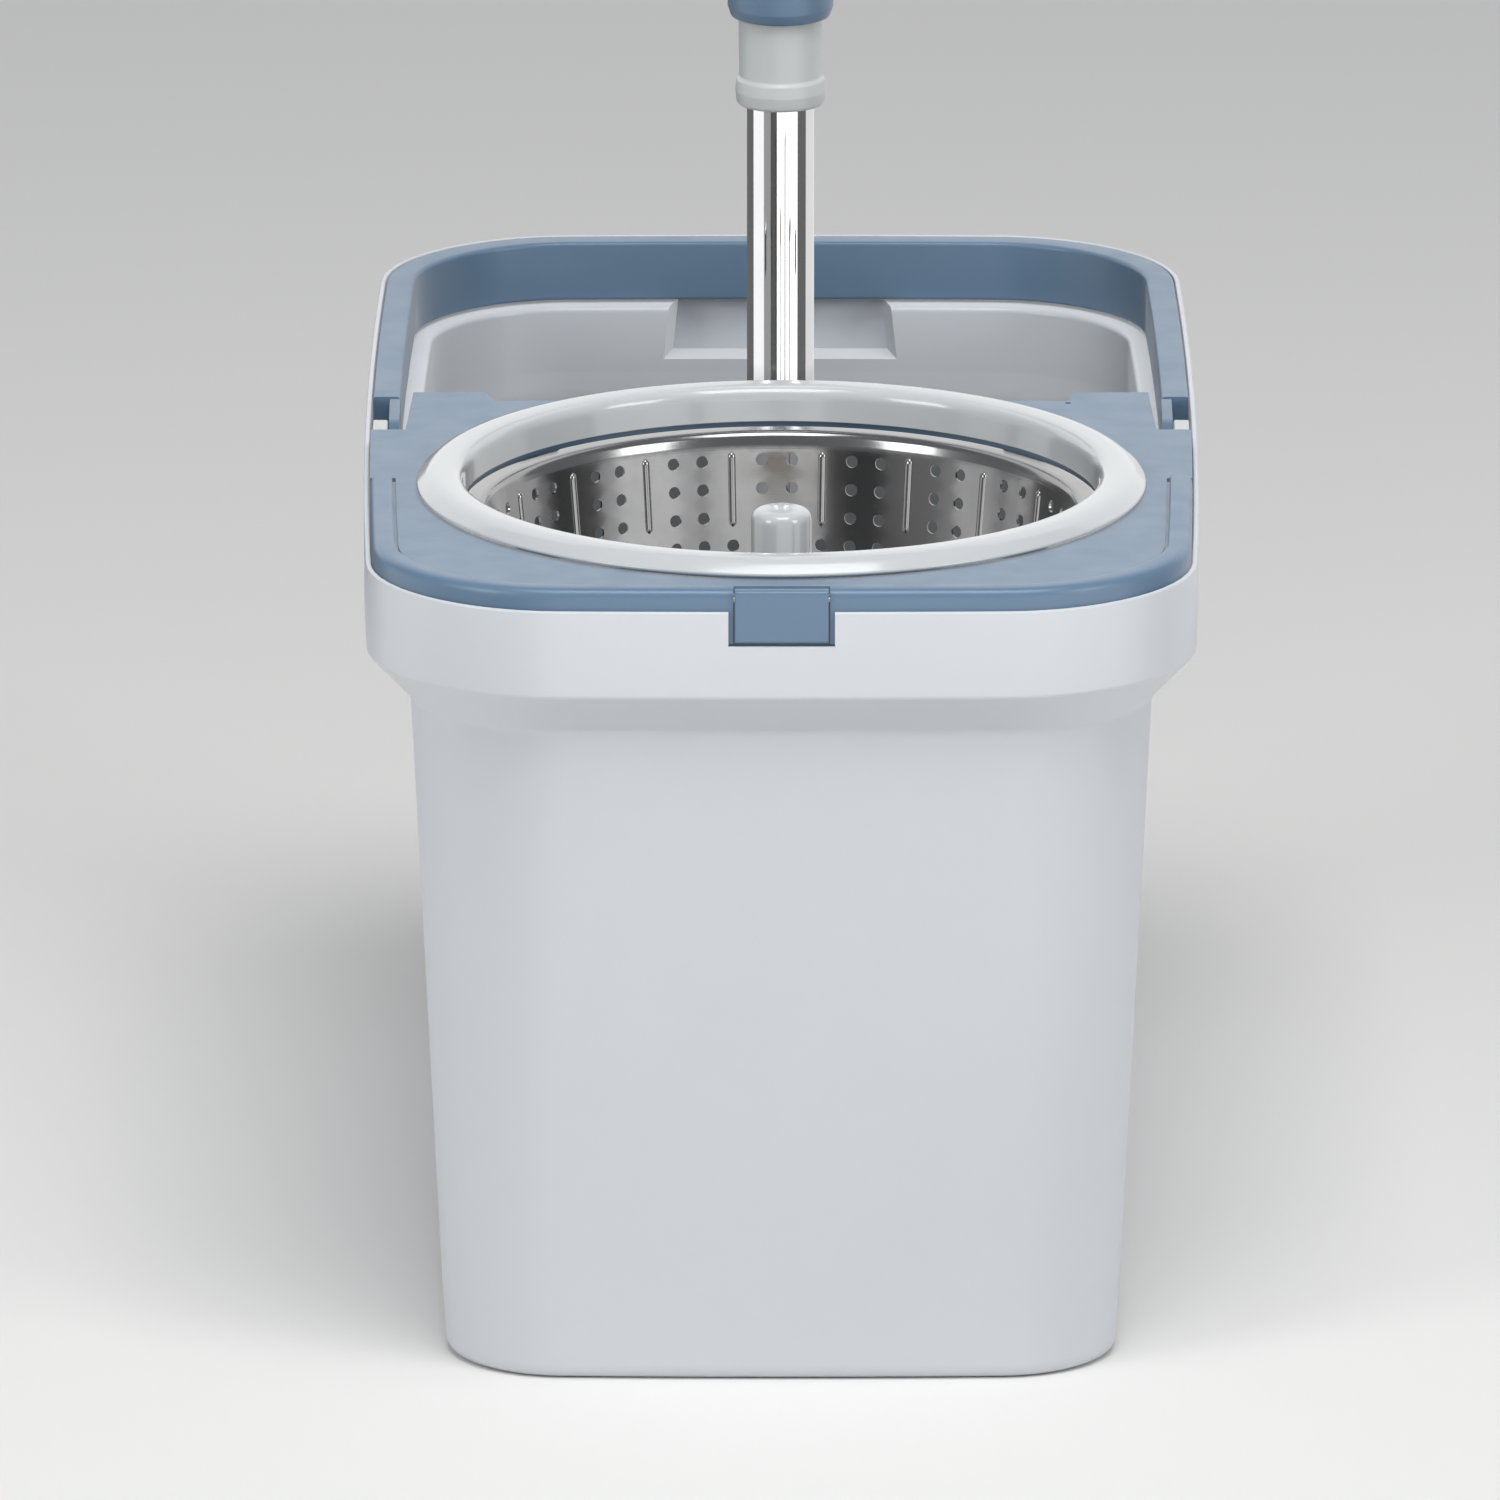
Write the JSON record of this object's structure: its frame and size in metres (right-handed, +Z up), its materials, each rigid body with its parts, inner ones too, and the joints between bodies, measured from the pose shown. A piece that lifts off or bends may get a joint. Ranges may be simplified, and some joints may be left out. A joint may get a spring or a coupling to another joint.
{
  "type": "spin mop",
  "caption": "Spin mop set: oblong bucket with a wringer basket, splash ring and folding bail, and a hand-press mop standing in its wash compartment.",
  "frame": {"origin": "centre of the bucket's foot, on the floor, under the middle of the whole object", "axes": "+X to the right seen from the spin end, +Y back towards the wash compartment, +Z up"},
  "size_m": [0.272, 0.4878, 1.2],
  "materials": {
    "bucket_grey": "semi-gloss moulded",
    "slate_blue": "satin moulded",
    "gloss_white": "gloss moulded",
    "light_grey": "satin moulded",
    "dark_grey": "matt moulded",
    "stainless": "drawn and polished",
    "steel_hardware": "zinc plated",
    "chrome_pole": "mirror",
    "bronze_bush": "sintered",
    "clear_grey": "translucent moulded",
    "microfibre": "tufted strands"
  },
  "bodies": {
    "bucket": {"bucket_body": "bucket_grey", "deck_plate": "slate_blue", "deck_trim": "slate_blue", "splash_ring": "gloss_white", "basket_cradle": "light_grey", "cradle_screw_1": "steel_hardware", "cradle_screw_2": "steel_hardware", "cradle_screw_3": "steel_hardware", "cradle_screw_4": "steel_hardware", "spindle_axle": "steel_hardware", "thrust_washer": "bronze_bush", "pivot_lug_left": "gloss_white", "pivot_lug_right": "gloss_white", "latch_pin": "steel_hardware"},
    "latch": {"deck_latch": "slate_blue"},
    "bail": {"bail_handle": "slate_blue"},
    "basket": {"spin_basket": "stainless", "basket_hub": "dark_grey", "centre_post": "gloss_white", "lower_bush": "bronze_bush", "upper_bush": "bronze_bush", "hub_screw_1": "steel_hardware", "hub_screw_2": "steel_hardware", "hub_screw_3": "steel_hardware"},
    "mop_pole": {"lower_pole": "chrome_pole", "foot_bush": "light_grey", "guide_bush": "light_grey"},
    "mop_drive": {"spiral_rod": "steel_hardware", "head_knuckle": "gloss_white", "knuckle_pin": "steel_hardware"},
    "mop_head": {"mop_plate": "gloss_white", "refill_ring": "light_grey", "mop_fibres": "microfibre"},
    "mop_handle": {"lock_collar": "clear_grey", "upper_pole_lower": "chrome_pole", "upper_pole_upper": "chrome_pole", "pole_connector": "light_grey", "drive_nut": "gloss_white", "hand_grip": "slate_blue", "hang_cap": "slate_blue"},
    "lock_ring": {"twist_sleeve": "slate_blue"}
  },
  "joints": [
    {"name": "bail_swing", "type": "hinge", "parent": "bucket", "child": "bail", "pos_m": [0, 0.003, 0.253], "axis": [1, 0, 0], "range_deg": [0, 48]},
    {"name": "latch_pivot", "type": "hinge", "parent": "bucket", "child": "latch", "pos_m": [0, -0.24075, 0.2665], "axis": [-1, 0, 0], "range_deg": [0, 20], "stiffness_Nm_per_rad": 0.02},
    {"name": "basket_spin", "type": "hinge", "parent": "bucket", "child": "basket", "pos_m": [0, -0.107, 0.1645], "axis": [0, 0, 1], "continuous": true},
    {"name": "mop_lift", "type": "slide", "parent": "bucket", "child": "mop_pole", "axis": [0, 0, 1], "range_m": [0, 0.3]},
    {"name": "handle_press", "type": "slide", "parent": "mop_pole", "child": "mop_handle", "axis": [0, 0, -1], "range_m": [0, 0.12]},
    {"name": "head_spin", "type": "hinge", "parent": "mop_pole", "child": "mop_drive", "pos_m": [0, 0.11, 0.058], "axis": [0, 0, 1], "range_deg": [0, 450]},
    {"name": "head_tilt", "type": "hinge", "parent": "mop_drive", "child": "mop_head", "pos_m": [0, 0.11, 0.058], "axis": [1, 0, 0], "range_deg": [-20, 20], "deforming": ["mop_fibres"]},
    {"name": "lock_twist", "type": "hinge", "parent": "mop_handle", "child": "lock_ring", "pos_m": [0, 0.11, 0.372], "axis": [0, 0, 1], "range_deg": [0, 60]}
  ],
  "couplings": [
    {"joint": "head_spin", "follows": "handle_press", "rad_per_m": 65.45}
  ]
}
